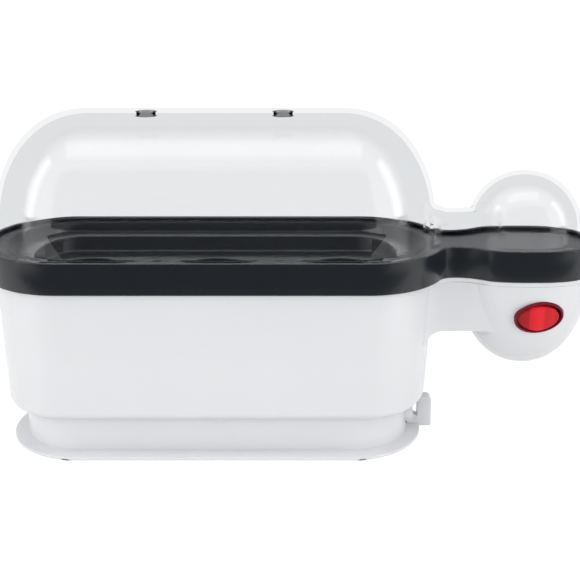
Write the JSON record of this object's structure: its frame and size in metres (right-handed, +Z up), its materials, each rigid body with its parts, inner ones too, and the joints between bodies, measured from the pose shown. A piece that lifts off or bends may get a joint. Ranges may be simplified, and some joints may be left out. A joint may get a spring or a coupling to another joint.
{
  "type": "steam egg boiler",
  "caption": "Oblong white egg boiler with a ball-shaped switch pod on one end, a dark tray with egg holes and a clear lift-off lid over the whole",
  "frame": {"origin": "on the table, below the centre of the bounding box", "axes": "+Z up; +X along the length, towards the switch pod; -Y towards the front, where the rocker switch is"},
  "size_m": [0.2694, 0.0984, 0.146],
  "materials": {
    "white_plastic": "glossy moulded",
    "dark_plastic": "satin moulded",
    "clear_plastic": "clear polished",
    "red_plastic": "glossy translucent red",
    "rubber": "matte",
    "black_plastic": "matte",
    "silicone": "matte silicone",
    "pan_coating": "grey coated",
    "steel": "plain",
    "brass": "plain",
    "ceramic": null,
    "lamp_glass": "clear",
    "red_wire": "sleeved wire",
    "blue_wire": "sleeved wire",
    "white_wire": "sleeved wire"
  },
  "bodies": {
    "base": {"housing": "white_plastic", "pod_cover": "white_plastic", "base_plate": "white_plastic", "cord_guide": "white_plastic", "cord_bush": "black_plastic", "cord_clamp": "black_plastic", "cord_clamp_screw_1": "steel", "cord_clamp_screw_2": "steel", "terminal_block": "ceramic", "terminal_screw_1": "brass", "terminal_screw_2": "brass", "terminal_screw_3": "brass", "heating_pan": "pan_coating", "pan_seal": "silicone", "pan_nut_1": "steel", "pan_nut_2": "steel", "pan_nut_3": "steel", "pan_nut_4": "steel", "heating_element": "steel", "thermostat": "steel", "thermal_fuse": "ceramic", "fuse_clip": "steel", "foot_1": "rubber", "foot_2": "rubber", "foot_3": "rubber", "foot_4": "rubber", "base_screw_1": "steel", "base_screw_2": "steel", "base_screw_3": "steel", "base_screw_4": "steel", "cover_screw_1": "steel", "cover_screw_2": "steel", "switch_wire_1": "red_wire", "switch_wire_2": "blue_wire", "switch_wire_3": "white_wire", "heater_wire_1": "blue_wire", "heater_wire_2": "white_wire", "heater_wire_3": "white_wire", "heater_wire_4": "red_wire", "switch_bezel": "red_plastic", "switch_body": "black_plastic", "switch_lamp": "lamp_glass", "switch_blade_1": "brass", "switch_blade_2": "brass", "switch_blade_3": "brass"},
    "tray": {"egg_tray": "dark_plastic"},
    "lid": {"lid": "clear_plastic"},
    "rocker": {"rocker": "red_plastic"}
  },
  "joints": [
    {"name": "tray_lift", "type": "slide", "parent": "base", "child": "tray", "axis": [0, 0, 1], "range_m": [0, 0.06]},
    {"name": "lid_lift", "type": "slide", "parent": "tray", "child": "lid", "axis": [0, 0, 1], "range_m": [0, 0.08]},
    {"name": "rocker_rock", "type": "hinge", "parent": "base", "child": "rocker", "pos_m": [0.10835, -0.02123, 0.06021], "axis": [0.0468, -0.2026, 0.9781], "range_deg": [0, 12]}
  ]
}
